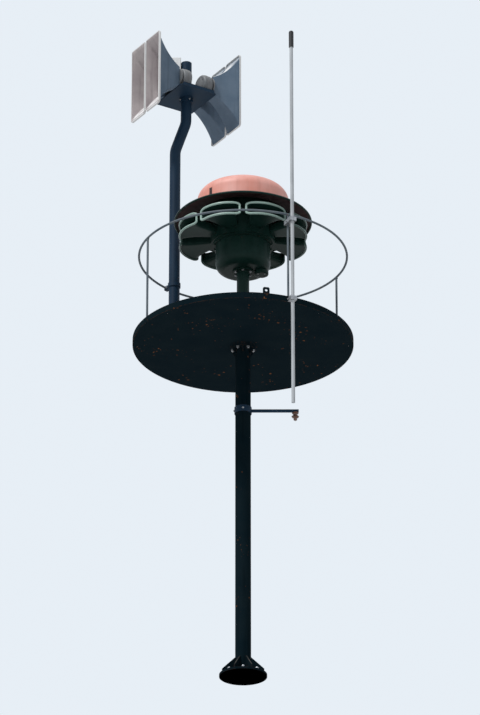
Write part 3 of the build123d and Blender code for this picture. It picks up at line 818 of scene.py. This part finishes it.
# Loudspeaker horns. Four tall flared horns in blue-grey plastic, each with a white lip turned
# back round its mouth. The blue-grey is darker and bluer than the plastic, partly painted shade,
# and white on top as painted sunlight. Inside they are pinkish grey, painted shade on pale paint,
# with white as painted sunlight where the inside faces up.
# Blue-grey darkened partly as painted shade; the white on top is painted sunlight.
speaker_outside = paint(
    "speaker_outside", (0.085, 0.132, 0.190), (0.130, 0.182, 0.245), 0.5,
    wear=0.0, rust=0.0, streaks=0.25, dust_and_top_light=2.5, specular=0.2, on_top=(0.80, 0.81, 0.82),
)
# Pinkish grey inside is painted shade on pale paint; the white on upward inner faces is painted
# sunlight.
speaker_inside = paint(
    "speaker_inside", (0.32, 0.28, 0.29), (0.44, 0.40, 0.40), 0.6,
    wear=0.0, rust=0.0, streaks=0.45, dust_and_top_light=2.5, on_top=(0.84, 0.85, 0.86),
)
speaker_white = paint(
    "speaker_white", (0.70, 0.71, 0.71), (0.62, 0.63, 0.64), 0.5,
    wear=0.0, rust=0.0, streaks=0.2, dust_and_top_light=0.2,
)
speaker_level = deck_level + 2.970
speaker_mouth = 0.450
speaker_throat = 0.185
speaker_mouth_half = (0.116, 0.375)
speaker_throat_half = (0.055, 0.100)
speaker_corner = 0.022
neck_edge = 0.022
speaker_lip = 0.006
speaker_wall = 0.004
speaker_aside = 0.131
lip_depth = 0.014

speaker = rounded_outline(speaker_mouth, *speaker_mouth_half, speaker_corner, 4)
steps = 16
step = (speaker_throat - speaker_mouth) / steps
narrow = (speaker_throat_half[0] / speaker_mouth_half[0]) ** (1 / steps)
lower = (speaker_throat_half[1] / speaker_mouth_half[1]) ** (1 / steps)
for number in range(steps):
    draw_out(step, narrow, lower, speaker_mouth + step * number)
bpy.ops.mesh.edge_face_add()
bpy.ops.mesh.inset(thickness=neck_edge)
bpy.ops.mesh.delete(type="ONLY_FACE")
pick(speaker, lambda co: co.x > speaker_mouth - 1e-4)
draw_out(0, *(1 + speaker_lip / half for half in speaker_mouth_half), speaker_mouth)
draw_out(-lip_depth, 1, 1, speaker_mouth)
close_seams(speaker, lambda face: -face.normal.z)
for finish in (speaker_outside, speaker_inside, speaker_white):
    speaker.data.materials.append(finish)
give_wall(speaker, speaker_wall, inner_finish=1, even=False)
for face in speaker.data.polygons:
    if abs(face.center.y) > speaker_mouth_half[0] or abs(face.center.z) > speaker_mouth_half[1]:
        face.material_index = 2
settle()

speaker_places = [
    Matrix.Translation((*speaker_spot, speaker_level))
    @ Matrix.Rotation(radians(heading), 4, "Z")
    @ Matrix.Translation((0, aside, 0))
    for heading in (speaker_heading + 180, speaker_heading)
    for aside in (-speaker_aside, speaker_aside)
]
for number, place in enumerate(speaker_places, start=1):
    copy = copy_at(speaker, place)
    fit(copy, f"loudspeaker_horn_{number}", "speaker_grey")
    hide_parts(f"speaker_horn_{number}")
bpy.data.objects.remove(speaker)


# Loudspeaker drivers. Each is a spun can with a clamping band and a bolted neck
# flange behind its horn, painted mid grey.
driver_paint = paint(
    "driver_paint", (0.12, 0.13, 0.14), (0.19, 0.20, 0.21), 0.45, wear=0.5, rust=0.2, dust_and_top_light=0.6
)
back_level = 0.0655
flange_level = 0.173
profile = [(0, 0.063), (0.055, 0.063), (0.060, back_level), (0.078, back_level)]
profile += bend((0.080, 0.0875), 0.022, -90, 0, 6)
profile += [(0.102, 0.100), (0.104, 0.101), (0.104, 0.113), (0.102, 0.114), (0.102, 0.136)]
profile += bend((0.086, 0.142), 0.016, 0, 90, 4)
profile += [(0.076, 0.158), (0.075, flange_level), (0.092, flange_level), (0.093, 0.174)]
profile += [(0.093, 0.183), (0.092, 0.184), (0, 0.184)]
driver = turned(profile, 64)
close_seams(driver, lambda face: face.normal.z)
neck_bolts = repeat(bolt_head(0.006), ring_places(8, 0.084, flange_level, hanging=True))
back_screws = repeat(bolt_head(0.006), ring_places(6, 0.069, back_level, hanging=True))
select(driver, neck_bolts, back_screws)
bpy.ops.object.join()
settle()
for number, place in enumerate(speaker_places, start=1):
    copy = copy_at(driver, place @ Matrix.Rotation(pi / 2, 4, "Y"))
    fit(copy, f"horn_driver_{number}", "driver_grey", driver_paint)
    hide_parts(f"speaker_driver_{number}")
bpy.data.objects.remove(driver)


# Aerial rod. A pale weathered tube with a blunt black tip, held by two zinc clamps,
# each closed with a pair of bolts: one on the guard post, one on the platform's rim.
rod_white = paint(
    "rod_white", (0.46, 0.49, 0.52), (0.36, 0.385, 0.41), 0.45,
    wear=0.0, rust=0.06, streaks=0.45, dust_and_top_light=0.1,
)
tip_black = paint(
    "tip_black", (0.012, 0.013, 0.015), (0.022, 0.022, 0.024), 0.5, wear=0.0, rust=0.0, dust_and_top_light=0.3
)
rod_turn = radians(post_angles[0])
upper_grip_reach = 0.990
lower_grip_reach = 1.011
grip_half = 0.030

coat(rod_white, "aerial_rod")
coat(tip_black, "aerial_tip")
coat(dull_zinc, "rod_clamp_upper", "rod_clamp_lower")
clamp_places = [
    Matrix.Rotation(rod_turn, 4, "Z")
    @ Matrix.Translation((reach, side * grip_half, (low.z + high.z) / 2))
    @ Matrix.Rotation(-side * pi / 2, 4, "X")
    for (low, high), reach in (
        (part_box("rod_clamp_upper"), upper_grip_reach),
        (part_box("rod_clamp_lower"), lower_grip_reach),
    )
    for side in (-1, 1)
]
fit(repeat(nut_on_stud(0.008), clamp_places), "rod_clamp_bolts", "galvanised", dull_zinc)


# Side arm. A round bar on a split collar round the column, with a brown glazed
# spool insulator bolted under its end.
insulator_glaze, tree, surface = bare_finish("insulator_glaze")
place = node(tree, "TexCoord").outputs["Object"]
pooled = ramp(tree, noise(tree, place, 30.0, 4.0), 0.35, 0.65)
glaze = blend(tree, pooled, (0.085, 0.030, 0.014, 1), (0.16, 0.062, 0.028, 1))
tree.links.new(glaze, surface.inputs["Base Color"])
surface.inputs["Roughness"].default_value = 0.12
surface.inputs["Coat Weight"].default_value = 0.6
arm_level = deck_level - 0.650
arm_collar_radius = 0.078
spool_top = arm_level - 0.0153
spool_reach = 0.469

coat(mast_paint, "side_arm")
arm_bolts = repeat(
    bolt_head(0.010),
    [
        Matrix.Rotation(radians(angle), 4, "Z")
        @ Matrix.Translation((arm_collar_radius, 0, arm_level))
        @ Matrix.Rotation(pi / 2, 4, "Y")
        for angle in (90, 180, 270)
    ],
)
fit(arm_bolts, "arm_collar_bolts", "galvanised", dull_zinc)
profile = [(0, spool_top), (0.020, spool_top)]
profile += bend((0.026, spool_top - 0.006), 0.005, 90, -90, 6)
profile += bend((0.034, spool_top - 0.0255), 0.0145, 90, 270, 8)[1:]
profile += bend((0.026, spool_top - 0.046), 0.005, 90, -90, 6)
profile += [(0.0165, spool_top - 0.056), (0.0165, spool_top - 0.074)]
profile += [(0.012, spool_top - 0.078), (0, spool_top - 0.078)]
spool = turned(profile, 48)
close_seams(spool, lambda face: face.normal.z)
spool.data.transform(Matrix.Translation((spool_reach, 0, 0)))
select(spool)
settle()
fit(spool, "spool_insulator", "insulator_porcelain", insulator_glaze)
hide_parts("arm_insulator")


# Camera. It looks up at the tower from about 38 m away, with the platform 25.5
# degrees above the eye; the eye is lower than the floor that the foot stands on.
eye_distance = 38.0
eye_elevation = radians(25.5)
picture_margin = 1.09
middle = (cad_low.x + cad_high.x) / 2
eye_level = deck_level - eye_distance * sin(eye_elevation)
eye = Vector((0.0, -eye_distance * cos(eye_elevation), eye_level))
to_foot = Vector((middle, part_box("base_flange")[1].y, cad_low.z)) - eye
to_top = Vector((middle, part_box("speaker_horn_2")[0].y, cad_high.z)) - eye
sight = (to_foot.normalized() + to_top.normalized()).normalized()
half_height = tan(to_foot.angle(to_top) / 2) * picture_margin

camera_data = bpy.data.cameras.new("camera")
camera = bpy.data.objects.new("camera", camera_data)
bpy.context.scene.collection.objects.link(camera)
camera.location = eye
camera.rotation_euler = sight.to_track_quat("-Z", "Y").to_euler()
camera_data.lens = camera_data.sensor_width / 2 / half_height
camera_data.clip_end = 600
bpy.context.scene.camera = camera


# Floor. A plain pale plate; seen from below it lets the eye through, so that the
# low view shows the whole tower. From above it shows and keeps the shadow.
floor_size = 400.0
floor_drop = 0.002

bpy.ops.object.select_all(action="DESELECT")
bpy.ops.mesh.primitive_plane_add(size=floor_size, location=(0, 0, cad_low.z - floor_drop))
floor = bpy.context.object
floor.name = "floor"
floor_finish, tree, surface = bare_finish("floor_finish")
surface.inputs["Base Color"].default_value = (0.62, 0.63, 0.64, 1)
surface.inputs["Roughness"].default_value = 0.9
see_through = node(tree, "BsdfTransparent")
seen = node(tree, "LightPath").outputs["Is Camera Ray"]
from_below = times(tree, node(tree, "NewGeometry").outputs["Backfacing"], seen)
choose = node(tree, "MixShader", {0: from_below, 1: surface.outputs[0], 2: see_through.outputs[0]})
tree.links.new(choose.outputs[0], tree.nodes["Material Output"].inputs["Surface"])
floor.data.materials.append(floor_finish)


# Light. A broad soft lamp high in front on the left, with an even pale surround
# that fills the shade and stands as the backdrop.
key_travel = Vector((0.40, 0.40, -0.82))
key_strength = 2.5
key_softness = radians(10)
surround_strength = 0.45
backdrop_colour = (0.80, 0.86, 0.92, 1)

lamp_data = bpy.data.lights.new("key", "SUN")
lamp_data.energy = key_strength
lamp_data.angle = key_softness
lamp = bpy.data.objects.new("key", lamp_data)
lamp.rotation_euler = key_travel.to_track_quat("-Z", "Y").to_euler()
bpy.context.scene.collection.objects.link(lamp)

surround = bpy.data.worlds.new("surround")
bpy.context.scene.world = surround
surround.use_nodes = True
tree = surround.node_tree
fill = tree.nodes["Background"]
fill.inputs["Color"].default_value = (1, 1, 1, 1)
fill.inputs["Strength"].default_value = surround_strength
backdrop = node(tree, "Background", {"Color": backdrop_colour})
path = node(tree, "LightPath")
seen = larger(tree, path.outputs["Is Camera Ray"], path.outputs["Is Glossy Ray"])
seen = larger(tree, seen, path.outputs["Is Transmission Ray"])
choose = node(tree, "MixShader", {0: seen, 1: fill.outputs[0], 2: backdrop.outputs[0]})
tree.links.new(choose.outputs[0], tree.nodes["World Output"].inputs["Surface"])
bpy.context.scene.view_settings.view_transform = "Standard"
